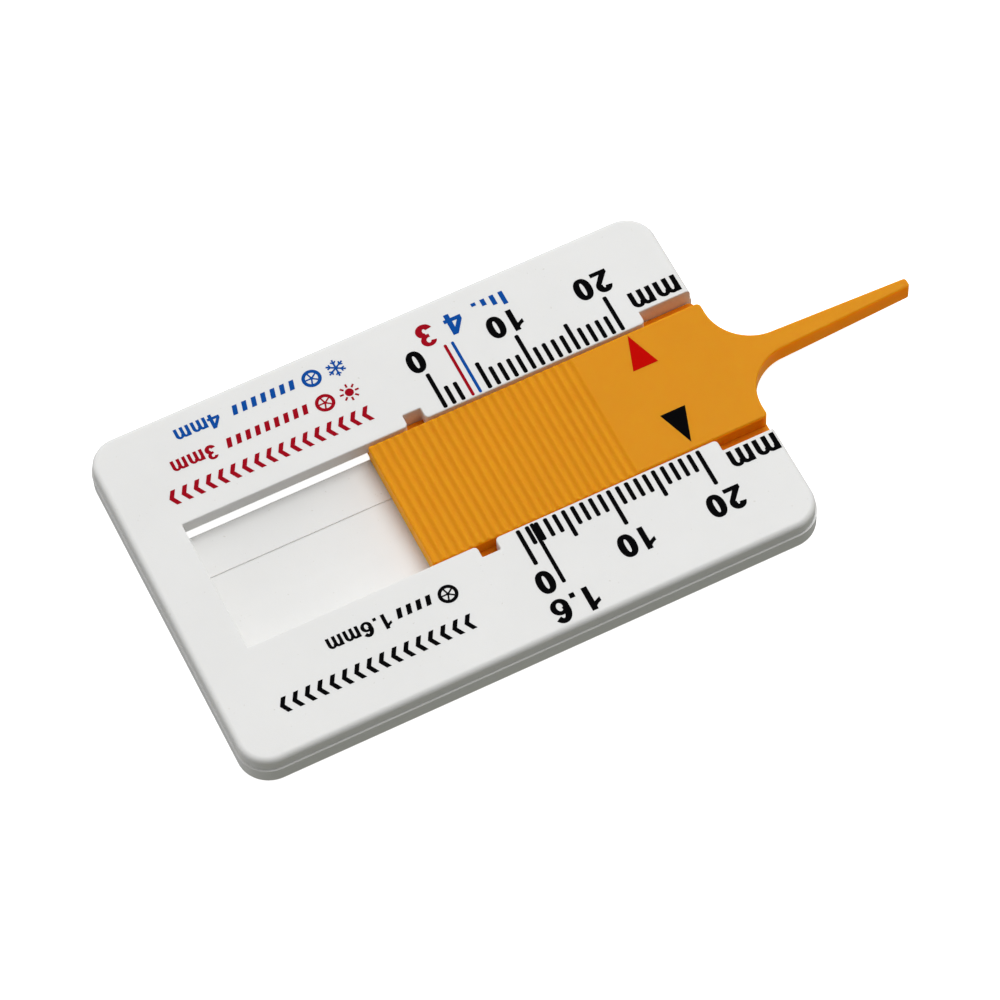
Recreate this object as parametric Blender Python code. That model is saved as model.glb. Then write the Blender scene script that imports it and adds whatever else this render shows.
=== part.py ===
"""Tyre tread depth gauge: a flat moulded card with a probe slider in its face.

Frame: millimetres times MM, +Z out of the printed face, +X along the probe's
travel towards its tip, +Y across the card. The origin is the centre of the
card's flat back. The slider is modelled pulled fully out, at reading 20.
"""
import math

import bmesh
import bpy

MM = 0.001

# Card outline.
CARD_LENGTH = 63.4
CARD_WIDTH = 41.2
CARD_THICKNESS = 3.8
CARD_CORNER_RADIUS = 3.4
FACE_FILLET = 0.9
BACK_FILLET = 0.6

# Channel for the slider, open at the card's right end.
CHANNEL_WIDTH = 15.5
UNDERCUT_WIDTH = 18.4
LIP_THICKNESS = 1.35
FLOOR_DEPTH = 2.6
CHANNEL_END_MARGIN = 5.75
NOTCH_WIDTH = 2.0
MOUTH_LENGTH = 6.0
SLOT_INNER_WIDTH = 14.8

# Stop groove in the channel floor, and the slider's stop lug that runs in it.
GROOVE_WIDTH = 4.8
GROOVE_DEPTH = 0.4
LUG_LENGTH = 2.5
LUG_SETBACK = 0.3
LUG_HEIGHT = 0.3

# Slider and its probe.
TRAVEL = 20.0
GAP = 0.3
RUNNING_GAP = 0.15
SLIDER_WIDTH = 15.2
SLIDER_TOP_DEPTH = 0.15
SHOULDER_LEAN = 0.05
SHOULDER_CORNER_RADIUS = 0.5
SHOULDER_SCALLOP_RADIUS = 5.15
FLANGE_WIDTH = 17.7
FLANGE_THICKNESS = 0.4
FLANGE_STEP = 0.1
SLIDER_FILLET = 0.3
PROBE_ROOT_WIDTH = 2.3
PROBE_TIP_WIDTH = 1.12
PROBE_TIP_RADIUS = 0.45

# Finger ribs: grooves across the slider's top, counted from its inner end.
RIB_COUNT = 23
RIB_PITCH = 0.98
FIRST_GROOVE = 0.86
RIB_GROOVE_DEPTH = 0.1
RIB_GROOVE_HALF_WIDTH = 0.4
RIB_ROOT_HALF_WIDTH = 0.06
RIB_CREST_CLEARANCE = 0.05

# Facets for each rounding, and how far a cutter reaches past what it cuts.
FILLET_STEPS = 3
CARD_CORNER_STEPS = 8
SLIDER_CORNER_STEPS = 4
SCALLOP_STEPS = 12
PROBE_TIP_SWEEP = 87
CUT_MARGIN = 1.0

# Worked-out places.
CARD_RIGHT = CARD_LENGTH / 2
CHANNEL_END = CHANNEL_END_MARGIN - CARD_RIGHT
FLOOR_Z = CARD_THICKNESS - FLOOR_DEPTH
LIP_UNDERSIDE_Z = CARD_THICKNESS - LIP_THICKNESS
MOUTH_START = CARD_RIGHT - MOUTH_LENGTH
SLIDER_END = CHANNEL_END + GAP + TRAVEL
SLIDER_TOP_Z = CARD_THICKNESS - SLIDER_TOP_DEPTH
FLANGE_BOTTOM_Z = FLOOR_Z + RUNNING_GAP
SLIDER_BOTTOM_Z = FLANGE_BOTTOM_Z + FLANGE_STEP
SHOULDER_X = CARD_RIGHT
PROBE_TIP_X = CARD_RIGHT + TRAVEL
LUG_START = SLIDER_END + LUG_SETBACK
GROOVE_END = LUG_START + LUG_LENGTH + GAP


def clear_scene():
    for old in list(bpy.data.objects):
        bpy.data.objects.remove(old, do_unlink=True)


def make_material(name, colour, roughness):
    material = bpy.data.materials.new(name)
    material.use_nodes = True
    shader = material.node_tree.nodes["Principled BSDF"]
    shader.inputs["Base Color"].default_value = (*colour, 1.0)
    shader.inputs["Roughness"].default_value = roughness
    shader.inputs["Metallic"].default_value = 0.0
    material.diffuse_color = (*colour, 1.0)
    return material


def arc(centre_x, centre_y, radius, start, end, steps):
    """Points along an arc, angles in degrees, both ends included."""
    points = []
    for i in range(steps + 1):
        angle = math.radians(start + (end - start) * i / steps)
        points.append((centre_x + radius * math.cos(angle), centre_y + radius * math.sin(angle)))
    return points


def card_outline(inset=0.0):
    """Rounded rectangle, counter-clockwise, the same each side of the X axis."""
    x = CARD_RIGHT - CARD_CORNER_RADIUS
    y = CARD_WIDTH / 2 - CARD_CORNER_RADIUS
    radius = CARD_CORNER_RADIUS - inset
    points = []
    for centre_x, centre_y, start in ((x, y, 0), (-x, y, 90), (-x, -y, 180), (x, -y, 270)):
        points += arc(centre_x, centre_y, radius, start, start + 90, CARD_CORNER_STEPS)
    return points


def rib_crests():
    """Where the ribs' crests are along X: the slider's sides get a point at each."""
    first = SLIDER_END + FIRST_GROOVE + RIB_PITCH / 2
    return [first + number * RIB_PITCH for number in range(RIB_COUNT)]


def slider_far_side(inset):
    """Half of the slider's outline, y > 0, from the probe's tip to the inner end."""
    half = SLIDER_WIDTH / 2
    scallop_x = SHOULDER_X + SHOULDER_SCALLOP_RADIUS
    scallop_y = PROBE_ROOT_WIDTH / 2 + SHOULDER_SCALLOP_RADIUS
    corner_x = SHOULDER_X - SHOULDER_LEAN - SHOULDER_CORNER_RADIUS
    corner_y = half - SHOULDER_CORNER_RADIUS
    tip_x = PROBE_TIP_X - PROBE_TIP_RADIUS
    tip_y = PROBE_TIP_WIDTH / 2 - PROBE_TIP_RADIUS
    tip_radius = PROBE_TIP_RADIUS - inset
    scallop_radius = SHOULDER_SCALLOP_RADIUS + inset
    corner_radius = SHOULDER_CORNER_RADIUS - inset
    points = arc(tip_x, tip_y, tip_radius, 0, PROBE_TIP_SWEEP, SLIDER_CORNER_STEPS)
    points += arc(scallop_x, scallop_y, scallop_radius, 270, 180, SCALLOP_STEPS)
    points += arc(corner_x, corner_y, corner_radius, 0, 90, SLIDER_CORNER_STEPS)
    points += [(x, half - inset) for x in reversed(rib_crests())]
    points.append((SLIDER_END + inset, half - inset))
    return points


def slider_outline(inset=0.0):
    """Whole outline of slider and probe, counter-clockwise, the same each side of X."""
    far = slider_far_side(inset)
    near = [(x, -y) for x, y in reversed(far)]
    return far + near


def flange_outline(inset=0.0):
    """Outline of the slider's foot, a step inside the slider's ends."""
    half = FLANGE_WIDTH / 2 - inset
    radius = SHOULDER_CORNER_RADIUS
    corner_x = SHOULDER_X - FLANGE_STEP - radius
    corner_y = FLANGE_WIDTH / 2 - radius
    far = arc(corner_x, corner_y, radius - inset, 0, 90, SLIDER_CORNER_STEPS)
    far.append((SLIDER_END + FLANGE_STEP + inset, half))
    near = [(x, -y) for x, y in reversed(far)]
    return far + near


def link(name, mesh):
    obj = bpy.data.objects.new(name, mesh)
    bpy.context.scene.collection.objects.link(obj)
    return obj


def rim_levels(z_low, z_high, fillet_low, fillet_high):
    """Height and inset of each ring of a prism with rounded rims, bottom to top."""
    def quarter(fillet):
        steps = FILLET_STEPS if fillet > 0 else 0
        turns = [math.pi / 2 * (1 - i / max(steps, 1)) for i in range(steps + 1)]
        return [(fillet * (1 - math.cos(turn)), fillet * (1 - math.sin(turn))) for turn in turns]

    low = [(z_low + rise, inset) for rise, inset in reversed(quarter(fillet_low))]
    high = [(z_high - drop, inset) for drop, inset in quarter(fillet_high)]
    return low + high


def cap(bm, ring, upward):
    """Close a ring with strips that run across it between mirrored points."""
    count = len(ring)
    for i in range(count // 2 - 1):
        strip = [ring[i], ring[i + 1], ring[count - 2 - i], ring[count - 1 - i]]
        bm.faces.new(strip if upward else strip[::-1])


def prism(name, outline_of, z_low, z_high, fillet_low=0.0, fillet_high=0.0, origin=(0, 0, 0)):
    """Upright prism whose outline is outline_of(inset), placed with its own origin."""
    bm = bmesh.new()
    ox, oy, oz = origin
    rings = []
    for z, inset in rim_levels(z_low, z_high, fillet_low, fillet_high):
        places = [((x - ox) * MM, (y - oy) * MM, (z - oz) * MM) for x, y in outline_of(inset)]
        rings.append([bm.verts.new(place) for place in places])
    for lower, upper in zip(rings, rings[1:]):
        for i in range(len(lower)):
            j = (i + 1) % len(lower)
            bm.faces.new((lower[i], lower[j], upper[j], upper[i]))
    cap(bm, rings[0], upward=False)
    cap(bm, rings[-1], upward=True)
    mesh = bpy.data.meshes.new(name)
    bm.to_mesh(mesh)
    bm.free()
    obj = link(name, mesh)
    obj.location = (ox * MM, oy * MM, oz * MM)
    return obj


def rectangle(x_low, x_high, y_low, y_high):
    """Outline of a plain block, whatever the inset."""
    return lambda inset: [(x_high, y_high), (x_low, y_high), (x_low, y_low), (x_high, y_low)]


def as_cutter(obj):
    obj.hide_render = True
    obj.display_type = "WIRE"
    return obj


def cutter(name, outline_of, z_low, z_high):
    return as_cutter(prism(name, outline_of, z_low, z_high))


def add_boolean(target, tool, operation):
    modifier = target.modifiers.new(tool.name, "BOOLEAN")
    modifier.operation = operation
    modifier.solver = "EXACT"
    modifier.object = tool


def cut_channel(card):
    """Channel, undercut and mouth: the space that the slider runs in."""
    end = CARD_RIGHT + CUT_MARGIN
    above = CARD_THICKNESS + CUT_MARGIN
    half = CHANNEL_WIDTH / 2
    wide = UNDERCUT_WIDTH / 2
    spaces = {
        "channel_cut": (rectangle(CHANNEL_END, end, -half, half), FLOOR_Z, above),
        "undercut_cut": (rectangle(CHANNEL_END, end, -wide, wide), FLOOR_Z, LIP_UNDERSIDE_Z),
        "mouth_cut": (rectangle(MOUTH_START, end, -wide, wide), FLOOR_Z, above),
        "notch_cut": (rectangle(-NOTCH_WIDTH / 2, NOTCH_WIDTH / 2, -wide, wide), FLOOR_Z, above),
    }
    for name, (outline, low, high) in spaces.items():
        add_boolean(card, cutter(name, outline, low, high), "DIFFERENCE")


def cut_slots(card):
    """Four slots through the back, one under each stretch of lip."""
    inner = SLOT_INNER_WIDTH / 2
    outer = UNDERCUT_WIDTH / 2
    stretches = ((CHANNEL_END, -NOTCH_WIDTH / 2), (NOTCH_WIDTH / 2, MOUTH_START))
    for number, (start, stop) in enumerate(stretches, 1):
        for side, low, high in (("near", -outer, -inner), ("far", inner, outer)):
            outline = rectangle(start, stop, low, high)
            tool = cutter(f"slot_cut_{side}_{number}", outline, -CUT_MARGIN, LIP_UNDERSIDE_Z)
            add_boolean(card, tool, "DIFFERENCE")


def cut_stop_groove(card):
    """Shallow groove along the floor; its closed end stops the slider's lug."""
    outline = rectangle(CHANNEL_END, GROOVE_END, -GROOVE_WIDTH / 2, GROOVE_WIDTH / 2)
    tool = cutter("groove_cut", outline, FLOOR_Z - GROOVE_DEPTH, CARD_THICKNESS)
    add_boolean(card, tool, "DIFFERENCE")


def make_card_body(material):
    card = prism(
        "card_body", card_outline, 0, CARD_THICKNESS,
        fillet_low=BACK_FILLET, fillet_high=FACE_FILLET,
    )
    card.data.materials.append(material)
    cut_channel(card)
    cut_slots(card)
    cut_stop_groove(card)
    return card


def comb_profile():
    """Profile of the rib cutter in X and Z: one flat-rooted V for each groove."""
    crest = SLIDER_TOP_Z + RIB_CREST_CLEARANCE
    root = SLIDER_TOP_Z - RIB_GROOVE_DEPTH
    first = SLIDER_END + FIRST_GROOVE
    points = []
    for number in range(RIB_COUNT):
        x = first + number * RIB_PITCH
        points.append((x - RIB_GROOVE_HALF_WIDTH, crest))
        points.append((x - RIB_ROOT_HALF_WIDTH, root))
        points.append((x + RIB_ROOT_HALF_WIDTH, root))
        points.append((x + RIB_GROOVE_HALF_WIDTH, crest))
    points.append((points[-1][0], crest + CUT_MARGIN))
    points.append((points[0][0], crest + CUT_MARGIN))
    return points


def cut_ribs(slider):
    """Cut all the finger grooves with one comb, longer than the slider is wide."""
    half = SLIDER_WIDTH / 2 + CUT_MARGIN
    bm = bmesh.new()
    near = [bm.verts.new((x * MM, -half * MM, z * MM)) for x, z in comb_profile()]
    face = bm.faces.new(near)
    grown = bmesh.ops.extrude_face_region(bm, geom=[face])
    far = [v for v in grown["geom"] if isinstance(v, bmesh.types.BMVert)]
    bmesh.ops.translate(bm, verts=far, vec=(0, 2 * half * MM, 0))
    bmesh.ops.recalc_face_normals(bm, faces=bm.faces)
    mesh = bpy.data.meshes.new("rib_comb")
    bm.to_mesh(mesh)
    bm.free()
    add_boolean(slider, as_cutter(link("rib_comb", mesh)), "DIFFERENCE")


def add_flange(slider):
    """Wide thin foot that runs under the card's lips."""
    top = FLANGE_BOTTOM_Z + FLANGE_THICKNESS
    add_boolean(slider, cutter("flange_shape", flange_outline, FLANGE_BOTTOM_Z, top), "UNION")


def add_lug(slider):
    """Stop lug under the slider's inner end."""
    half = GROOVE_WIDTH / 2 - GAP
    outline = rectangle(LUG_START, LUG_START + LUG_LENGTH, -half, half)
    tool = cutter("lug_shape", outline, FLANGE_BOTTOM_Z - LUG_HEIGHT, FLANGE_BOTTOM_Z + GAP)
    add_boolean(slider, tool, "UNION")


def make_slider(material):
    """Slider with its probe; its origin is on the line of travel at its inner end."""
    slider = prism(
        "slider", slider_outline, SLIDER_BOTTOM_Z, SLIDER_TOP_Z,
        fillet_high=SLIDER_FILLET,
        origin=(SLIDER_END, 0, (SLIDER_BOTTOM_Z + SLIDER_TOP_Z) / 2),
    )
    slider.data.materials.append(material)
    cut_ribs(slider)
    add_flange(slider)
    add_lug(slider)
    return slider


def main():
    clear_scene()
    white = make_material("white_plastic", (0.80, 0.80, 0.79), 0.45)
    orange = make_material("orange_plastic", (0.716, 0.287, 0.0144), 0.40)
    make_card_body(white)
    make_slider(orange)


main()
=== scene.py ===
"""Looks of the tyre tread depth gauge: a printed white card and its orange probe slider.

The card and the slider are remade as fine meshes in the places of their CAD solids, and
the scales are a thin layer of ink on the card's face. Lengths are millimetres times MM.
"""

import math

import bmesh
import bpy
from mathutils import Matrix, Vector
from mathutils.geometry import delaunay_2d_cdt


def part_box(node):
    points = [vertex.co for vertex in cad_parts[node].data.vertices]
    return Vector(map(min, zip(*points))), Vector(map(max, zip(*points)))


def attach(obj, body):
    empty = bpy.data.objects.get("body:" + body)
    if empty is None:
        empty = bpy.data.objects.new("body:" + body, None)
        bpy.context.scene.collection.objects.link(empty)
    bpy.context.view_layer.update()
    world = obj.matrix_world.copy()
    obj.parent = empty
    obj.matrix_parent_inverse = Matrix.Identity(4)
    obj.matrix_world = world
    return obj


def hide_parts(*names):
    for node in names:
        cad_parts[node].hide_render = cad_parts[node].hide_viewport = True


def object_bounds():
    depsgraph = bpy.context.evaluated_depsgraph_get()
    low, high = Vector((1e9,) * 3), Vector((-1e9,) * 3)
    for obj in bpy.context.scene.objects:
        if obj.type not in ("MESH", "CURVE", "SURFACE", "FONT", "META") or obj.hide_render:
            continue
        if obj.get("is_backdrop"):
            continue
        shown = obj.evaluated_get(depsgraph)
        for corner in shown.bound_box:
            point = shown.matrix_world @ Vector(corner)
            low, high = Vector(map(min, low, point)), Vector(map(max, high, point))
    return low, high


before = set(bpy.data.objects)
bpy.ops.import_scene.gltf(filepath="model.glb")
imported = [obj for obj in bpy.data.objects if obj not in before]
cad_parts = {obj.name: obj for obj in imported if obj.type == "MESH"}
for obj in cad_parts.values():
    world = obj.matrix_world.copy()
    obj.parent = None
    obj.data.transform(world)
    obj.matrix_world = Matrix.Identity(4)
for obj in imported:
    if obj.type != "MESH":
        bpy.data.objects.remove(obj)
CAD_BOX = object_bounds()

MM = 0.001
CARD_LOW, CARD_HIGH = [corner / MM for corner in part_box("card_body")]
SLIDER_LOW, SLIDER_HIGH = [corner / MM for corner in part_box("slider")]

# Card. Its face lies one ink layer below the CAD face, so that the print ends level with it.
INK_THICKNESS = 0.012
FACE_Z = CARD_HIGH.z - INK_THICKNESS
CARD_CORNER_RADIUS = 3.4
FACE_FILLET = 0.62
BACK_FILLET = 0.25
PARTING_DEPTH = 1.72
PARTING_RIDGE = 0.19
PARTING_RISE = 0.02
PARTING_FALL = 0.03
LOWER_HALF_SETBACK = 0.03
LEFT_SETBACK = 0.12

# Channel in the card.
CHANNEL_END = CARD_LOW.x + 5.75
CHANNEL_HALF_WIDTH = 7.82
UNDERCUT_HALF_WIDTH = 9.2
FLOOR_Z = CARD_HIGH.z - 2.6
LIP_UNDERSIDE_Z = CARD_HIGH.z - 1.69
MOUTH_START = CARD_HIGH.x - 6.0
NOTCH_HALF_WIDTH = 1.0
SLOT_INNER = 7.57
GROOVE_HALF_WIDTH = 2.46
GROOVE_DEPTH = 0.12
GROOVE_END = SLIDER_LOW.x + 3.1
LIP_ROUND = 0.14
LIP_CORNER = 0.45
INNER_CORNER = 0.12
SLOT_ROUND = 0.12
CUT_MARGIN = 1.0
CUT_OVERLAP = 0.5

# Ejector-pin marks on the back.
PIN_MARK_RADIUS = 1.5
PIN_MARK_DEPTH = 0.05
PIN_MARK_X = 25.0
PIN_MARK_Y = 14.5

# Slider and probe.
SLIDER_HALF_WIDTH = 7.58
SLIDER_ROUND = 0.22
SLIDER_BOTTOM_ROUND = 0.12
SHOULDER_X = CARD_HIGH.x
SHOULDER_CORNER = 0.5
SCALLOP_RADIUS = 5.15
PROBE_ROOT_HALF_WIDTH = 1.15
PROBE_TIP_HALF_WIDTH = 0.56
PROBE_TIP_RADIUS = 0.34
FLANGE_HALF_WIDTH = 9.05
FLANGE_BOTTOM_Z = FLOOR_Z + 0.15
FLANGE_TOP_Z = FLANGE_BOTTOM_Z + 0.4
FLANGE_STEP = 0.1
FLANGE_ROUND = 0.08
SLIDER_BOTTOM_Z = FLANGE_BOTTOM_Z + FLANGE_STEP
LUG_START = SLIDER_LOW.x + 0.3
LUG_END = LUG_START + 2.5
LUG_HALF_WIDTH = 2.1
LUG_BOTTOM_Z = FLOOR_Z - 0.07
LUG_TOP_Z = FLANGE_TOP_Z - 0.05

# Finger ribs across the slider's top, counted from its inner end.
RIB_COUNT = 23
RIB_PITCH = 0.98
FIRST_GROOVE = 0.74
RIB_HEIGHT = 0.2
RIB_STATIONS = 10

# Printed scales. X counts from the 0 mark along the card, where the pointers read 0.
SCALE_ZERO_X = 3.35
SCALE_LENGTH = 20
MARK_WIDTH = 0.455
COLOUR_LINE_WIDTH = 0.33
MARK_ROUND = 0.16
NUMERAL_HEIGHT = 2.7
ROW_HEIGHT = 1.75
SIGN_HEIGHT = ROW_HEIGHT * 1.1
POINTER_HALF_WIDTH = 1.4

ROUND_STEPS = 6
CORNER_STEPS = 14
TURN_STEPS = 28
STATION_GAP = 0.05
POINT_GAP = 0.001
SHARP_ANGLE = math.radians(35)

# Camera: the view of the gauge from its near left, aimed at a point on the face.
CAMERA_AZIMUTH = math.radians(-22.60)
CAMERA_ELEVATION = math.radians(59.59)
CAMERA_ROLL = math.radians(-4.11)
CAMERA_DISTANCE = 0.475
CAMERA_AIM = Vector((3.392, -4.162, 3.8)) * MM
CAMERA_LENS = 172.03

# Light tent: brightness along a direction is the level plus the slope times the direction.
TENT_LEVEL = 0.38
TENT_SLOPE = (-0.06, 0.52, 0.2)
TENT_FLOOR = 0.36
TENT_DIMMEST = 0.02
TENT_DIM_TINT = (1.0, 1.015, 0.9)
HORIZON_BLUR = 0.02
LAMP_DIRECTION = Vector((0.42, 0.15, 1.0))
LAMP_DISTANCE = 2.0
LAMP_SIZE = 1.6
LAMP_POWER = 22.5
PAPER_SIZE = 2.0
PAPER_Z = -0.02


def link(name, data):
    obj = bpy.data.objects.new(name, data)
    bpy.context.scene.collection.objects.link(obj)
    return obj


def mesh_object(name, bm):
    mesh = bpy.data.meshes.new(name)
    bm.to_mesh(mesh)
    bm.free()
    return link(name, mesh)


# Outlines.

def rounded_outline(corners, inset=0.0, steps=CORNER_STEPS):
    """Outline with square turns, counter-clockwise, from corners (x, y, radius).

    Each edge is moved inwards by inset, and every corner keeps the centre of its rounding.
    """
    points = []
    for i, (x, y, radius) in enumerate(corners):
        corner = Vector((x, y))
        before = Vector(corners[i - 1][:2])
        after = Vector(corners[(i + 1) % len(corners)][:2])
        arriving = (corner - before).normalized()
        leaving = (after - corner).normalized()
        centre = corner + (leaving - arriving) * radius
        bulges = arriving.cross(leaving) > 0
        reach = radius - inset if bulges else radius + inset
        for step in range(steps + 1):
            turn = math.pi / 2 * step / steps
            points.append(centre + (arriving * math.sin(turn) - leaving * math.cos(turn)) * reach)
    return [(p.x, p.y) for p in points]


def box_corners(x_low, x_high, y_low, y_high, radius):
    return [
        (x_high, y_high, radius),
        (x_low, y_high, radius),
        (x_low, y_low, radius),
        (x_high, y_low, radius),
    ]


def card_outline(inset):
    x_low = CARD_LOW.x + LEFT_SETBACK
    corners = box_corners(x_low, CARD_HIGH.x, CARD_LOW.y, CARD_HIGH.y, CARD_CORNER_RADIUS)
    return rounded_outline(corners, inset)


def opening_outline(inset):
    """The channel's opening in the face, with its two notches and its wide mouth."""
    far_end = CARD_HIGH.x + CUT_MARGIN
    narrow, wide, notch = CHANNEL_HALF_WIDTH, UNDERCUT_HALF_WIDTH, NOTCH_HALF_WIDTH
    far_side = [
        (far_end, wide, INNER_CORNER),
        (MOUTH_START, wide, INNER_CORNER),
        (MOUTH_START, narrow, LIP_CORNER),
        (notch, narrow, LIP_CORNER),
        (notch, wide, INNER_CORNER),
        (-notch, wide, INNER_CORNER),
        (-notch, narrow, LIP_CORNER),
        (CHANNEL_END, narrow, INNER_CORNER),
    ]
    near_side = [(x, -y, radius) for x, y, radius in reversed(far_side)]
    return rounded_outline(far_side + near_side, inset, ROUND_STEPS)


def arc(centre_x, centre_y, radius, start, end, steps):
    """Points along an arc, angles in degrees, both ends included."""
    points = []
    for step in range(steps + 1):
        angle = math.radians(start + (end - start) * step / steps)
        points.append((centre_x + radius * math.cos(angle), centre_y + radius * math.sin(angle)))
    return points


def side_stations():
    """X places along the slider's straight side, dense where the ribs are."""
    corner = SHOULDER_X - SHOULDER_CORNER
    count = round((RIB_COUNT + 0.5) * RIB_STATIONS) + 1
    start = SLIDER_LOW.x + SLIDER_ROUND
    first = SLIDER_LOW.x + FIRST_GROOVE
    places = [first + (i - RIB_STATIONS) * RIB_PITCH / RIB_STATIONS for i in range(count)]
    return [x for x in places if start + STATION_GAP < x < corner - STATION_GAP]


def slider_outline(inset):
    """Slider and probe, counter-clockwise from the probe's tip, the same each side of X."""
    tip_x = SLIDER_HIGH.x - PROBE_TIP_RADIUS
    tip_y = PROBE_TIP_HALF_WIDTH - PROBE_TIP_RADIUS
    scallop = (SHOULDER_X + SCALLOP_RADIUS, PROBE_ROOT_HALF_WIDTH + SCALLOP_RADIUS)
    corner = (SHOULDER_X - SHOULDER_CORNER, SLIDER_HALF_WIDTH - SHOULDER_CORNER)
    far = arc(tip_x, tip_y, PROBE_TIP_RADIUS - inset, 2, 87, ROUND_STEPS)
    far += arc(*scallop, SCALLOP_RADIUS + inset, 270, 181, 2 * CORNER_STEPS)
    far += arc(*corner, SHOULDER_CORNER - inset, 1, 90, ROUND_STEPS)
    far += [(x, SLIDER_HALF_WIDTH - inset) for x in reversed(side_stations())]
    end = (SLIDER_LOW.x + SLIDER_ROUND, SLIDER_HALF_WIDTH - SLIDER_ROUND)
    far += arc(*end, SLIDER_ROUND - inset + POINT_GAP, 92, 178, 4)
    return far + [(x, -y) for x, y in reversed(far)]


# Solids from rings.

def rim(z_end, radius, way=1):
    """Height and inset of each ring of a rounded top rim, or of a bottom rim where way is -1."""
    turns = [math.pi / 2 * step / ROUND_STEPS for step in range(ROUND_STEPS + 1)]
    rings = [(z_end - way * radius * (1 - math.sin(t)), radius * (1 - math.cos(t))) for t in turns]
    return rings[::way]


def round_levels(z_low, z_high, round_low, round_high):
    """Height and inset of each ring of a prism with rounded rims, bottom to top."""
    return rim(z_low, round_low, -1) + rim(z_high, round_high)


def loft(name, rings, strips=False):
    """Closed solid through rings of points, bottom to top, in millimetres.

    Its two ends are one face each, or strips across, which follow an end that isn't flat.
    """
    bm = bmesh.new()
    loops = [[bm.verts.new(Vector(point) * MM) for point in ring] for ring in rings]
    count = len(loops[0])
    for lower, upper in zip(loops, loops[1:]):
        for i in range(count):
            j = (i + 1) % count
            bm.faces.new((lower[i], lower[j], upper[j], upper[i]))
    for loop in (loops[0][::-1], loops[-1]):
        if strips:
            for i in range(count // 2 - 1):
                bm.faces.new((loop[i], loop[i + 1], loop[count - 2 - i], loop[count - 1 - i]))
        else:
            bm.faces.new(loop)
    return mesh_object(name, bm)


def prism(name, outline_of, levels):
    rings = [[(x, y, z) for x, y in outline_of(inset)] for z, inset in levels]
    return loft(name, rings)


def block(name, x_range, y_range, z_range):
    """Box with slightly rounded upright edges."""
    corners = box_corners(*x_range, *y_range, INNER_CORNER)
    levels = [(z, 0.0) for z in z_range]
    return prism(name, lambda inset: rounded_outline(corners, inset, ROUND_STEPS), levels)


def combine(target, tools, operation):
    """Applies exact booleans with the tools in turn, then removes the tools."""
    for tool in tools:
        modifier = target.modifiers.new(tool.name, "BOOLEAN")
        modifier.operation = operation
        modifier.solver = "EXACT"
        modifier.object = tool
    view = bpy.context.evaluated_depsgraph_get()
    view.update()
    result = bpy.data.meshes.new_from_object(target.evaluated_get(view))
    target.modifiers.clear()
    target.data = result
    for tool in tools:
        bpy.data.objects.remove(tool)


def finish_surface(obj, material):
    """Smooth shading that leaves flat faces flat and real edges sharp."""
    obj.data.materials.clear()
    obj.data.materials.append(material)
    obj.data.shade_smooth()
    obj.data.set_sharp_from_angle(angle=SHARP_ANGLE)
    weighting = obj.modifiers.new("weighted_normals", "WEIGHTED_NORMAL")
    weighting.keep_sharp = True


# Card.

def card_levels():
    """The card's rim: rounded back and face, and a flash ridge where the mould parts."""
    parting = CARD_HIGH.z - PARTING_DEPTH
    lower = [(z, inset + LOWER_HALF_SETBACK) for z, inset in rim(CARD_LOW.z, BACK_FILLET, -1)]
    upper = [(z, inset + PARTING_RIDGE) for z, inset in rim(FACE_Z, FACE_FILLET)]
    ridge = [
        (parting - PARTING_FALL, LOWER_HALF_SETBACK),
        (parting, 0.0),
        (parting + PARTING_RISE, PARTING_RIDGE),
    ]
    return lower + ridge + upper


def opening_cutter():
    """The face's opening, flared at the top so that it leaves a rounded lip."""
    flare = [(z, -inset) for z, inset in rim(FACE_Z, LIP_ROUND)]
    levels = [(FLOOR_Z + CUT_OVERLAP, 0.0), *flare, (FACE_Z + CUT_MARGIN, -LIP_ROUND)]
    return prism("opening_cutter", opening_outline, levels)


def slot_cutter(x_range, side):
    """One slot through the floor under a lip, wider at the top, which rounds the floor's edge."""
    def outline(grow):
        y_range = sorted((side * (SLOT_INNER - grow), side * UNDERCUT_HALF_WIDTH))
        return rounded_outline(box_corners(*x_range, *y_range, INNER_CORNER), 0.0, ROUND_STEPS)

    levels = [(-CUT_MARGIN, 0.0), *rim(FLOOR_Z, SLOT_ROUND), (FLOOR_Z + CUT_OVERLAP, SLOT_ROUND)]
    return prism(f"slot_cutter_{side}_{x_range[0]:.0f}", outline, levels)


def card_cutters():
    mouth_end = CARD_HIGH.x + CUT_MARGIN
    wide = UNDERCUT_HALF_WIDTH
    groove = (-GROOVE_HALF_WIDTH, GROOVE_HALF_WIDTH)
    groove_heights = (FLOOR_Z - GROOVE_DEPTH, FLOOR_Z + CUT_OVERLAP)
    tools = [
        opening_cutter(),
        block("undercut_cutter", (CHANNEL_END, mouth_end), (-wide, wide), (FLOOR_Z, LIP_UNDERSIDE_Z)),
        block("groove_cutter", (CHANNEL_END, GROOVE_END), groove, groove_heights),
    ]
    stretches = ((CHANNEL_END, -NOTCH_HALF_WIDTH), (NOTCH_HALF_WIDTH, MOUTH_START))
    tools += [slot_cutter(stretch, side) for stretch in stretches for side in (-1, 1)]
    return tools


def pin_mark_cutters():
    tools = []
    for x in (-PIN_MARK_X, PIN_MARK_X):
        for y in (-PIN_MARK_Y, PIN_MARK_Y):
            ring = arc(x, y, PIN_MARK_RADIUS, 0, 360, 3 * CORNER_STEPS)[:-1]
            rings = [[(px, py, z) for px, py in ring] for z in (-CUT_MARGIN, PIN_MARK_DEPTH)]
            tools.append(loft(f"pin_cutter_{len(tools)}", rings))
    return tools


def make_card(material):
    card = prism("card", card_outline, card_levels())
    combine(card, card_cutters() + pin_mark_cutters(), "DIFFERENCE")
    finish_surface(card, material)
    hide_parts("card_body")
    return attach(card, "card")


# Slider.

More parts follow.
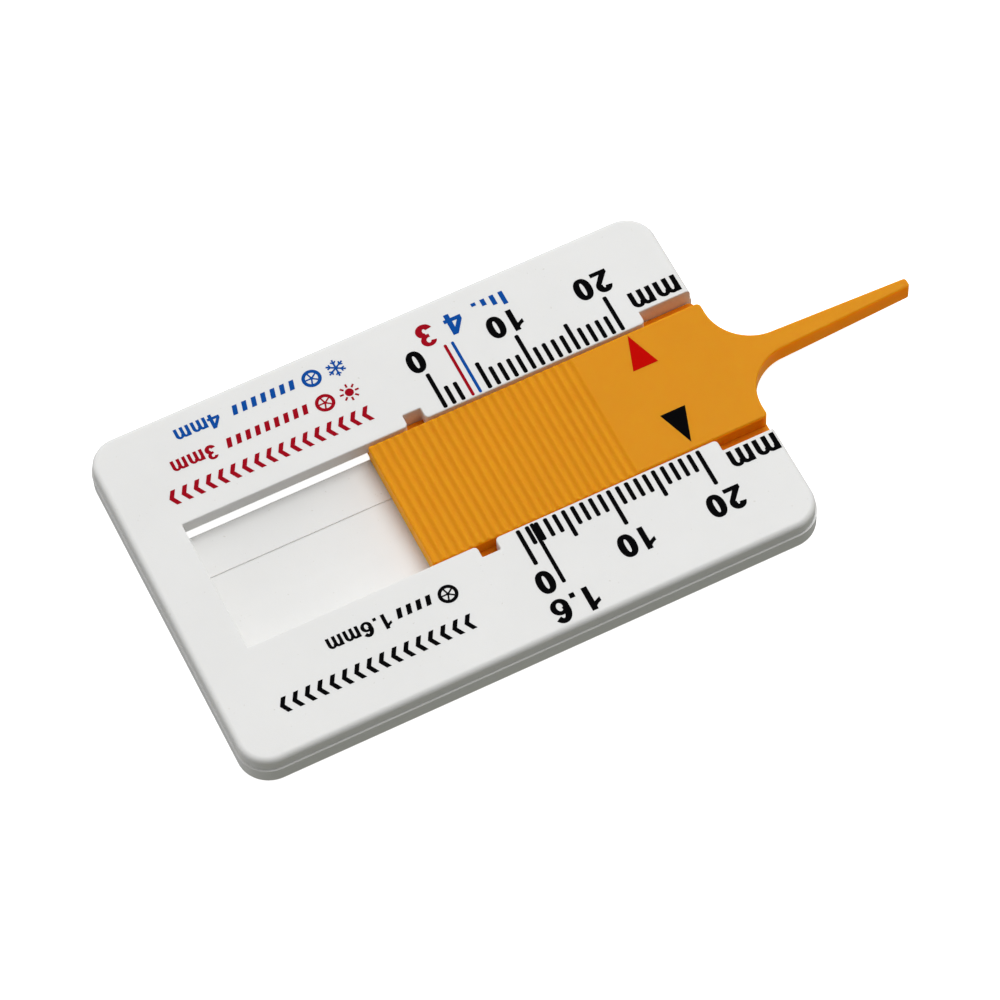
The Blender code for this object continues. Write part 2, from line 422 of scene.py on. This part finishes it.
def rib_drop(x):
    """How far the slider's top lies below a rib's crest, at a place along it."""
    along = (x - SLIDER_LOW.x - FIRST_GROOVE) / RIB_PITCH
    nearest = min(max(round(along), 0), RIB_COUNT - 1)
    from_groove = min(abs(along - nearest), 0.5)
    return RIB_HEIGHT * (1 + math.cos(2 * math.pi * from_groove)) / 2


def slider_rings():
    rings = []
    levels = round_levels(SLIDER_BOTTOM_Z, SLIDER_HIGH.z, SLIDER_BOTTOM_ROUND, SLIDER_ROUND)
    start = SLIDER_HIGH.z - SLIDER_ROUND
    for z, inset in levels:
        share = max(0.0, z - start) / SLIDER_ROUND
        rings.append([(x, y, z - share * rib_drop(x)) for x, y in slider_outline(inset)])
    return rings


def make_flange():
    """Wide thin foot of the slider, which runs under the card's lips."""
    corners = box_corners(
        SLIDER_LOW.x + FLANGE_STEP, SHOULDER_X - FLANGE_STEP,
        -FLANGE_HALF_WIDTH, FLANGE_HALF_WIDTH, SHOULDER_CORNER,
    )
    levels = round_levels(FLANGE_BOTTOM_Z, FLANGE_TOP_Z, FLANGE_ROUND, FLANGE_ROUND)
    return prism("flange", lambda inset: rounded_outline(corners, inset, ROUND_STEPS), levels)


def make_lug():
    """Low block under the slider, which runs in the stop groove."""
    y_range = (-LUG_HALF_WIDTH, LUG_HALF_WIDTH)
    return block("lug", (LUG_START, LUG_END), y_range, (LUG_BOTTOM_Z, LUG_TOP_Z))


def make_slider(material):
    slider = loft("slider_body", slider_rings(), strips=True)
    combine(slider, [make_flange(), make_lug()], "UNION")
    finish_surface(slider, material)
    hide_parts("slider")
    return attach(slider, "probe_slider")


# Print: shapes are lists of polygons. Glyphs and signs stand on v = 0 and are 1 high.

def bar(x_low, y_low, x_high, y_high):
    return [[(x_low, y_low), (x_high, y_low), (x_high, y_high), (x_low, y_high)]]


def band(centre, radii, thickness, start, end, squareness=1.0, steps=TURN_STEPS):
    """Elliptical band between two angles in degrees, as quads, thick as (sideways, upright)."""
    cx, cy = centre

    def point(rx, ry, angle):
        c, s = math.cos(angle), math.sin(angle)
        x = math.copysign(abs(c) ** squareness, c)
        y = math.copysign(abs(s) ** squareness, s)
        return cx + rx * x, cy + ry * y

    angles = [math.radians(start + (end - start) * step / steps) for step in range(steps + 1)]
    outer = [point(*radii, angle) for angle in angles]
    inner = [point(radii[0] - thickness[0], radii[1] - thickness[1], angle) for angle in angles]
    return [[outer[i], outer[i + 1], inner[i + 1], inner[i]] for i in range(steps)]


def disc(centre, radius):
    return [arc(*centre, radius, 0, 360, TURN_STEPS)[:-1]]


def beam(start, end, width):
    """Straight bar between two points."""
    a, b = Vector(start), Vector(end)
    side = (b - a).normalized().orthogonal() * width / 2
    return [[tuple(p) for p in (a - side, b - side, b + side, a + side)]]


BOLD = (0.268, 0.205)


def digit_zero():
    return band((0.39, 0.5), (0.345, 0.5), BOLD, 0, 360, 0.9, 40)


def digit_one():
    flag = [[(0.12, 0.57), (0.37, 0.69), (0.42, 1.0), (0.35, 0.88), (0.25, 0.80), (0.12, 0.745)]]
    return bar(0.35, 0, 0.575, 1) + flag


def digit_two():
    bowl = band((0.375, 0.69), (0.315, 0.31), BOLD, 172, -28)
    stroke = [[(0.653, 0.544), (0.36, 0.17), (0.05, 0.0), (0.04, 0.14), (0.454, 0.622)]]
    return bowl + stroke + bar(0.045, 0, 0.70, 0.175)


def digit_three():
    upper = band((0.37, 0.735), (0.30, 0.265), (0.215, 0.155), 165, -88)
    lower = band((0.375, 0.305), (0.335, 0.305), BOLD, 85, -168)
    return upper + lower + bar(0.27, 0.465, 0.40, 0.615)


def digit_four():
    slope = [[(0.02, 0.36), (0.22, 0.38), (0.45, 0.70), (0.46, 1.0), (0.43, 1.0), (0.02, 0.42)]]
    return slope + bar(0.43, 0, 0.645, 1) + bar(0.02, 0.215, 0.755, 0.385)


def digit_six():
    bowl = band((0.385, 0.33), (0.34, 0.33), (0.22, 0.155), 0, 360)
    back = band((0.42, 0.5), (0.375, 0.5), BOLD, 38, 205)
    return bowl + back


def decimal_point():
    return bar(0.08, 0, 0.28, 0.2)


def letter_m():
    """Stands 0.75 high, as a small letter beside figures that are 1 high."""
    stem, height = 0.2, 0.75
    polygons = bar(0.06, 0, 0.06 + stem, height)
    for middle in (0.345, 0.715):
        polygons += band((middle, 0.48), (0.265, 0.275), (stem, 0.15), 0, 180)
        polygons += bar(middle + 0.265 - stem, 0, middle + 0.265, 0.5)
    return polygons


ADVANCE = 0.777
GLYPHS = {
    "0": (digit_zero, ADVANCE),
    "1": (digit_one, ADVANCE),
    "2": (digit_two, ADVANCE),
    "3": (digit_three, ADVANCE),
    "4": (digit_four, ADVANCE),
    "6": (digit_six, ADVANCE),
    ".": (decimal_point, ADVANCE / 2),
    "m": (letter_m, 1.06),
}


def moved(polygons, u):
    return [[(x + u, y) for x, y in polygon] for polygon in polygons]


def text(string):
    polygons, u = [], 0.0
    for character in string:
        draw, advance = GLYPHS[character]
        polygons += moved(draw(), u)
        u += advance
    return polygons


def sun():
    polygons = disc((0.5, 0.5), 0.24)
    for number in range(8):
        angle = math.pi / 4 * number
        ray = Vector((math.cos(angle), math.sin(angle)))
        middle = Vector((0.5, 0.5))
        polygons += beam(middle + ray * 0.32, middle + ray * 0.54, 0.11)
    return polygons


def snowflake():
    polygons = []
    middle = Vector((0.5, 0.5))
    for number in range(6):
        angle = math.pi / 3 * number + math.pi / 6
        ray = Vector((math.cos(angle), math.sin(angle)))
        polygons += beam(middle, middle + ray * 0.54, 0.1)
        for side in (-1, 1):
            twig = Matrix.Rotation(side * math.pi / 4, 2) @ ray
            fork = middle + ray * 0.28
            polygons += beam(fork, fork + twig * 0.2, 0.08)
    return polygons


def tyre():
    """A wheel seen from the side: a thick tyre round a rim with five spokes."""
    polygons = band((0.5, 0.5), (0.54, 0.54), (0.19, 0.19), 0, 360, steps=40)
    polygons += disc((0.5, 0.5), 0.1)
    middle = Vector((0.5, 0.5))
    for number in range(5):
        angle = math.tau / 5 * number
        ray = Vector((math.cos(angle), math.sin(angle)))
        polygons += beam(middle, middle + ray * 0.4, 0.09)
    return polygons


def chevrons(count, pitch=0.76):
    """A band of tyre tread: V-shaped blocks one after another."""
    block_shape = [
        [(0.0, 0.0), (0.3, 0.0), (0.58, 0.5), (0.28, 0.5)],
        [(0.28, 0.5), (0.58, 0.5), (0.3, 1.0), (0.0, 1.0)],
    ]
    return [poly for number in range(count) for poly in moved(block_shape, number * pitch)]


def slanted_blocks(count, pitch=0.6):
    """A leader of slanted tread blocks."""
    block_shape = [[(0.0, 0.06), (0.3, 0.06), (0.46, 0.7), (0.16, 0.7)]]
    return [poly for number in range(count) for poly in moved(block_shape, number * pitch)]


def falling_bars():
    """Four bars, each lower than the one before, for a wearing-down tread."""
    polygons = []
    for number in range(4):
        polygons += bar(number * 0.62, 0, number * 0.62 + 0.3, 1 - number * 0.25)
    return polygons


def placed(polygons, left_x, base_y, size):
    """Shapes on the card. The print reads with the probe to the left, so it is turned round."""
    return [[(left_x - u * size, base_y - v * size) for u, v in polygon] for polygon in polygons]


def centred(polygons, middle_x, base_y, size):
    us = [u for polygon in polygons for u, _ in polygon]
    return placed(polygons, middle_x + (min(us) + max(us)) / 2 * size, base_y, size)


def mark(x, y_start, y_end, width=MARK_WIDTH):
    y_low, y_high = sorted((y_start, y_end))
    corners = box_corners(x - width / 2, x + width / 2, y_low, y_high, MARK_ROUND)
    return [rounded_outline(corners, 0.0, 3)]


def scale_marks(side, start, ends, left_out=()):
    """Millimetre marks of one scale; ends are how far the short, middle and long marks reach."""
    polygons = []
    for reading in range(SCALE_LENGTH + 1):
        size = 2 if reading % 10 == 0 else 1 if reading % 5 == 0 else 0
        if reading not in left_out:
            polygons += mark(SCALE_ZERO_X + reading, side * start, side * ends[size])
    return polygons


def black_print():
    far = scale_marks(side=1, start=8.0, ends=(10.35, 11.4, 12.5), left_out=(3, 4))
    near = scale_marks(side=-1, start=8.08, ends=(10.32, 11.35, 12.45))
    polygons = far + near + mark(SCALE_ZERO_X + 1.57, -8.0, -15.5, 0.42)
    for reading in (0, 10, 20):
        shape = text(str(reading))
        polygons += centred(shape, SCALE_ZERO_X + reading - 0.4, 15.6, NUMERAL_HEIGHT)
        polygons += centred(shape, SCALE_ZERO_X + reading - 0.1, -13.3, NUMERAL_HEIGHT)
    polygons += centred(text("1.6"), SCALE_ZERO_X + 1.4, -16.85, 2.8)
    polygons += centred(text("mm"), 28.2, 11.7, NUMERAL_HEIGHT)
    polygons += centred(text("mm"), 28.45, -9.6, NUMERAL_HEIGHT)
    polygons += placed(chevrons(16), -4.9, -14.35, ROW_HEIGHT)
    polygons += placed(tyre(), -4.9, -10.45, SIGN_HEIGHT)
    polygons += placed(slanted_blocks(4), -7.5, -10.5, ROW_HEIGHT)
    polygons += placed(text("1.6mm"), -11.9, -10.5, ROW_HEIGHT)
    return polygons


def red_print():
    polygons = mark(SCALE_ZERO_X + 3.08, 8.0, 14.8, COLOUR_LINE_WIDTH)
    polygons += centred(text("3"), SCALE_ZERO_X + 1.9, 18.05, 2.75)
    polygons += placed(chevrons(17), -3.6, 11.9, ROW_HEIGHT)
    polygons += placed(sun(), -3.6, 15.1, SIGN_HEIGHT)
    polygons += placed(tyre(), -6.3, 15.1, SIGN_HEIGHT)
    polygons += placed(slanted_blocks(9), -9.0, 15.0, ROW_HEIGHT)
    polygons += placed(text("3mm"), -19.2, 15.0, ROW_HEIGHT)
    return polygons


def blue_print():
    polygons = mark(SCALE_ZERO_X + 3.9, 8.0, 14.8, COLOUR_LINE_WIDTH)
    polygons += centred(text("4"), SCALE_ZERO_X + 5.1, 18.0, 2.6)
    polygons += centred(falling_bars(), SCALE_ZERO_X + 9.3, 18.0, 1.65)
    polygons += placed(snowflake(), -3.6, 18.35, SIGN_HEIGHT)
    polygons += placed(tyre(), -6.3, 18.35, SIGN_HEIGHT)
    polygons += placed(slanted_blocks(7), -9.0, 18.25, ROW_HEIGHT)
    polygons += placed(text("4mm"), -17.4, 18.25, ROW_HEIGHT)
    return polygons


def counter_clockwise(polygon):
    pairs = zip(polygon, polygon[1:] + polygon[:1])
    area = sum(x0 * y1 - x1 * y0 for (x0, y0), (x1, y1) in pairs)
    return polygon if area > 0 else polygon[::-1]


def ink_layer(name, polygons, base_z, material, body):
    """One flat closed layer of ink over all the polygons, however they overlap."""
    points, faces = [], []
    for polygon in map(counter_clockwise, polygons):
        faces.append(list(range(len(points), len(points) + len(polygon))))
        points += [Vector(point) for point in polygon]
    places, _, triangles, _, _, owners = delaunay_2d_cdt(points, [], faces, 1, 1e-5)
    triangles = [triangle for triangle, owner in zip(triangles, owners) if owner]
    bm = bmesh.new()
    low = [bm.verts.new((x * MM, y * MM, base_z * MM)) for x, y in places]
    high = [bm.verts.new((x * MM, y * MM, (base_z + INK_THICKNESS) * MM)) for x, y in places]
    edges = set()
    for triangle in triangles:
        bm.faces.new([high[i] for i in triangle])
        bm.faces.new([low[i] for i in reversed(triangle)])
        edges.update(zip(triangle, [*triangle[1:], triangle[0]]))
    for i, j in sorted(edges):
        if (j, i) not in edges:
            bm.faces.new((low[i], low[j], high[j], high[i]))
    loose = [vert for vert in bm.verts if not vert.link_faces]
    bmesh.ops.delete(bm, geom=loose, context="VERTS")
    layer = mesh_object(name, bm)
    layer.data.materials.append(material)
    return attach(layer, body)


def pointer(x, apex_y, base_y):
    """Triangle on the slider that points at a scale."""
    return [[(x, apex_y), (x - POINTER_HALF_WIDTH, base_y), (x + POINTER_HALF_WIDTH, base_y)]]


# Materials.

class Nodes:
    """Adds nodes to the tree of a material or a world, and links them."""

    def __init__(self, owner, shader="Principled BSDF", coordinates="Object"):
        owner.use_nodes = True
        self.owner = owner
        self.tree = owner.node_tree
        self.shader = self.tree.nodes[shader]
        self.place = self.add("ShaderNodeTexCoord").outputs[coordinates]

    def add(self, kind):
        return self.tree.nodes.new(kind)

    def link(self, output, socket):
        self.tree.links.new(output, socket)

    def drive(self, name, output):
        """Lets an output set one of the shader's values."""
        self.link(output, self.shader.inputs[name])

    def fix(self, name, value):
        """Gives one of the shader's values a constant."""
        self.shader.inputs[name].default_value = value

    def noise(self, feature_size, detail=2.0):
        """Noise whose features are about feature_size millimetres wide."""
        node = self.add("ShaderNodeTexNoise")
        node.inputs["Scale"].default_value = 1 / (feature_size * MM)
        node.inputs["Detail"].default_value = detail
        self.link(self.place, node.inputs["Vector"])
        return node.outputs["Fac"]

    def spread(self, value, low, high, source=(0.3, 0.7)):
        """Stretches the source range of a value over low to high."""
        node = self.add("ShaderNodeMapRange")
        self.link(value, node.inputs["Value"])
        node.inputs["From Min"].default_value = source[0]
        node.inputs["From Max"].default_value = source[1]
        node.inputs["To Min"].default_value = low
        node.inputs["To Max"].default_value = high
        return node.outputs["Result"]

    def blend(self, factor, first, second):
        """Mix of two colours, or of a colour and another mix."""
        node = self.add("ShaderNodeMix")
        node.data_type = "RGBA"
        self.link(factor, node.inputs["Factor"])
        for name, colour in (("A", first), ("B", second)):
            if isinstance(colour, tuple):
                node.inputs[name].default_value = (*colour, 1.0)
            else:
                self.link(colour, node.inputs[name])
        return node.outputs["Result"]

    def calculate(self, operation, first, second):
        """Math on an output and either a number or another output."""
        node = self.add("ShaderNodeMath")
        node.operation = operation
        self.link(first, node.inputs[0])
        if isinstance(second, float):
            node.inputs[1].default_value = second
        else:
            self.link(second, node.inputs[1])
        return node.outputs["Value"]

    def product(self, first, second):
        return self.calculate("MULTIPLY", first, second)

    def larger(self, first, second):
        return self.calculate("MAXIMUM", first, second)

    def along(self, vector, direction):
        """How far a vector reaches along a direction."""
        node = self.add("ShaderNodeVectorMath")
        node.operation = "DOT_PRODUCT"
        self.link(vector, node.inputs[0])
        node.inputs[1].default_value = direction
        return node.outputs["Value"]

    def part(self, axis):
        """One coordinate of the place."""
        parts = self.add("ShaderNodeSeparateXYZ")
        self.link(self.place, parts.inputs["Vector"])
        return parts.outputs[axis]

    def fade(self, axis, start, end):
        """1 below start and 0 above end, in millimetres along one of the object's axes."""
        return self.spread(self.part(axis), 1.0, 0.0, source=(start * MM, end * MM))

    def facing(self, direction, limits=(0.0, 1.0)):
        """0 to 1 as the surface turns to face a direction of the object."""
        normal = self.place.node.outputs["Normal"]
        return self.spread(self.along(normal, direction), 0.0, 1.0, source=limits)

    def bump(self, height, distance, normal=None):
        node = self.add("ShaderNodeBump")
        node.inputs["Strength"].default_value = 1.0
        node.inputs["Distance"].default_value = distance * MM
        self.link(height, node.inputs["Height"])
        if normal is not None:
            self.link(normal, node.inputs["Normal"])
        return node.outputs["Normal"]


def tinted(colour, share):
    return tuple(channel * share for channel in colour)


def flow_clouds(nodes, colour):
    """Faint clouds of the plastic's own colour, where it flowed into the mould."""
    clouds = nodes.spread(nodes.noise(9.0, 3.0), 0.0, 1.0)
    return nodes.blend(clouds, tinted(colour, 1.012), tinted(colour, 0.982))


def moulded_plastic(name, roughness, gloss):
    """Satin moulded plastic: spark-eroded grain and slow waves."""
    nodes = Nodes(bpy.data.materials.new(name))
    sheen = nodes.spread(nodes.noise(1.3, 4.0), roughness - 0.05, roughness + 0.06)
    nodes.drive("Roughness", sheen)
    grain = nodes.bump(nodes.noise(0.16, 3.0), 0.006)
    nodes.drive("Normal", nodes.bump(nodes.noise(5.0, 1.0), 0.02, grain))
    nodes.fix("Subsurface Scale", MM)
    nodes.fix("Specular IOR Level", gloss)
    return nodes


def white_plastic():
    """Opaque white with a few flecks, which lets only a little light in."""
    nodes = moulded_plastic("white_plastic", roughness=0.42, gloss=0.25)
    flow = flow_clouds(nodes, (0.81, 0.81, 0.80))
    flecks = nodes.spread(nodes.noise(0.35, 1.0), 0.0, 1.0, source=(0.76, 0.8))
    nodes.drive("Base Color", nodes.blend(flecks, flow, (0.70, 0.69, 0.66)))
    nodes.fix("Subsurface Weight", 0.15)
    nodes.fix("Subsurface Radius", (0.9, 0.85, 0.75))
    return nodes.owner


def orange_plastic():
    """Slightly see-through orange, with painted light and shade: a brighter, redder colour on its
    upright sides as painted light through the plastic, and a darker red on its lower near-facing
    parts inside the card as painted shade.
    """
    # The second and third colours are painted light and shade: a brighter, redder colour for the
    # upright sides, standing in for light through the plastic, and a darker red for parts inside the
    # card. The first is the plastic's own colour.
    face, side_light_colour, recess_shade_colour = (0.755, 0.318, 0.007), (0.97, 0.37, 0.003), (0.70, 0.20, 0.002)
    nodes = moulded_plastic("orange_plastic", roughness=0.4, gloss=0.07)
    low = nodes.fade("Z", SLIDER_HIGH.z - 0.5, SLIDER_HIGH.z - 0.15)
    inside = nodes.fade("X", SHOULDER_X - 0.8, SHOULDER_X)
    # Painted shade mask: lower parts inside the card that face up or towards the near side.
    recess_shade_mask = nodes.product(nodes.product(low, inside), nodes.facing((0, -1, 1)))
    level = nodes.facing((0, 0, 1), (0.1, 0.6))
    # Upright sides take the painted side light; faces that look up take the plastic's own colour.
    outer = nodes.blend(level, side_light_colour, flow_clouds(nodes, face))
    nodes.drive("Base Color", nodes.blend(recess_shade_mask, outer, recess_shade_colour))
    nodes.fix("Subsurface Weight", 1.0)
    nodes.drive("Subsurface Radius", nodes.blend(level, (1.4, 0.5, 0.05), (0.3, 0.25, 0.05)))
    # Painted glow: the upright sides emit orange light, though they are no lamp.
    nodes.fix("Emission Color", (1.0, 0.17, 0.0, 1.0))
    nodes.drive("Emission Strength", light_through_sides(nodes, inside))
    return nodes.owner


def light_through_sides(nodes, inside):
    """Painted glow on the upright sides, standing in for daylight through the thin plastic, weaker
    where they are inside the card.
    """
    sides = nodes.larger(nodes.facing((0, 1, 0)), nodes.facing((0, -1, 0)))
    glow = nodes.spread(sides, 0.0, 0.2, source=(0.3, 1.0))
    shade = nodes.spread(inside, 1.0, 0.25, source=(0.0, 1.0))
    return nodes.product(glow, shade)


def ink(name, colour, thin):
    """Screen-printed ink: fine mottling, with pinholes where the layer is thin."""
    nodes = Nodes(bpy.data.materials.new(name))
    mottle = nodes.spread(nodes.noise(0.3, 3.0), 0.0, 0.35)
    pinholes = nodes.spread(nodes.noise(0.11, 1.0), 0.0, 0.8, source=(0.74, 0.8))
    body = nodes.blend(mottle, colour, tinted(colour, 0.8))
    nodes.drive("Base Color", nodes.blend(pinholes, body, thin))
    nodes.drive("Roughness", nodes.spread(nodes.noise(0.5), 0.34, 0.5))
    nodes.drive("Normal", nodes.bump(nodes.noise(0.12, 2.0), 0.003))
    nodes.fix("Specular IOR Level", 0.01)
    return nodes.owner


def glowing_paper():
    """White paper lit from below, as on a light table."""
    nodes = Nodes(bpy.data.materials.new("floor_white"))
    speckle = nodes.spread(nodes.noise(2.0), 0.0, 1.0)
    nodes.drive("Base Color", nodes.blend(speckle, (0.90, 0.90, 0.90), (0.93, 0.93, 0.93)))
    nodes.fix("Roughness", 0.9)
    nodes.fix("Specular IOR Level", 0.0)
    nodes.fix("Emission Color", (1, 1, 1, 1))
    nodes.fix("Emission Strength", 0.85)
    return nodes.owner


# Studio.

def make_floor():
    bpy.ops.mesh.primitive_plane_add(size=PAPER_SIZE, location=(0, 0, PAPER_Z * MM))
    floor = bpy.context.active_object
    floor.name = "floor"
    floor.visible_diffuse = False
    floor.visible_glossy = False
    floor.data.materials.append(glowing_paper())
    floor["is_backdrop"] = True


def make_world():
    """Soft tent of light: brightest above and behind, dimmest towards the camera's side."""
    world = bpy.data.worlds.new("studio")
    nodes = Nodes(world, "Background", "Generated")
    slope = nodes.along(nodes.place, TENT_SLOPE)
    tent = nodes.larger(nodes.calculate("ADD", slope, TENT_LEVEL), TENT_DIMMEST)
    above = nodes.spread(nodes.part("Z"), 0.0, 1.0, source=(-HORIZON_BLUR, HORIZON_BLUR))
    sky = nodes.add("ShaderNodeMix")
    nodes.link(above, sky.inputs["Factor"])
    sky.inputs["A"].default_value = TENT_FLOOR
    nodes.link(tent, sky.inputs["B"])
    brightness = nodes.spread(tent, 0.0, 1.0, source=(TENT_DIMMEST, TENT_LEVEL))
    nodes.drive("Color", nodes.blend(brightness, TENT_DIM_TINT, (1.0, 1.0, 1.0)))
    nodes.drive("Strength", sky.outputs["Result"])
    bpy.context.scene.world = world


def make_lamp():
    """Large round lamp overhead, a little to the right."""
    lamp = bpy.data.lights.new("top_light", "AREA")
    lamp.shape = "DISK"
    lamp.size = LAMP_SIZE
    lamp.energy = LAMP_POWER
    obj = link("top_light", lamp)
    away = LAMP_DIRECTION.normalized()
    obj.location = away * LAMP_DISTANCE
    obj.rotation_euler = away.to_track_quat("Z", "Y").to_euler()
    obj.visible_camera = False


def make_camera():
    camera = bpy.data.cameras.new("camera")
    camera.lens = CAMERA_LENS
    obj = link("camera", camera)
    azimuth, elevation, roll = CAMERA_AZIMUTH, CAMERA_ELEVATION, CAMERA_ROLL
    back = Vector((
        math.sin(azimuth) * math.cos(elevation),
        -math.cos(azimuth) * math.cos(elevation),
        math.sin(elevation),
    ))
    level = Vector((math.cos(azimuth), math.sin(azimuth), 0))
    above = back.cross(level)
    right = level * math.cos(roll) + above * math.sin(roll)
    up = above * math.cos(roll) - level * math.sin(roll)
    turn = Matrix((right, up, back)).transposed().to_4x4()
    obj.matrix_world = Matrix.Translation(CAMERA_AIM + back * CAMERA_DISTANCE) @ turn
    bpy.context.scene.camera = obj


def make_print():
    black = ink("black_ink", (0.0012, 0.0012, 0.0016), (0.008, 0.008, 0.008))
    red = ink("red_ink", (0.36, 0.003, 0.012), (0.46, 0.06, 0.07))
    blue = ink("blue_ink", (0.004, 0.075, 0.36), (0.06, 0.16, 0.45))
    scarlet = ink("scarlet_ink", (0.56, 0.002, 0.0005), (0.55, 0.03, 0.005))
    ink_layer("print_black", black_print(), FACE_Z, black, "card")
    ink_layer("print_red", red_print(), FACE_Z, red, "card")
    ink_layer("print_blue", blue_print(), FACE_Z, blue, "card")
    pointer_x = SCALE_ZERO_X + SCALE_LENGTH + 0.06
    far_pointer = pointer(pointer_x, 7.3, 3.2)
    near_pointer = pointer(pointer_x, -6.8, -2.7)
    ink_layer("pointer_red", far_pointer, SLIDER_HIGH.z, scarlet, "probe_slider")
    ink_layer("pointer_black", near_pointer, SLIDER_HIGH.z, black, "probe_slider")


def main():
    bpy.context.scene.view_settings.view_transform = "Standard"
    make_card(white_plastic())
    make_slider(orange_plastic())
    make_print()
    make_floor()
    make_world()
    make_lamp()
    make_camera()


main()
sizes = {"cad": CAD_BOX, "visual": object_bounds()}
{name: [list(corner) for corner in box] for name, box in sizes.items()}
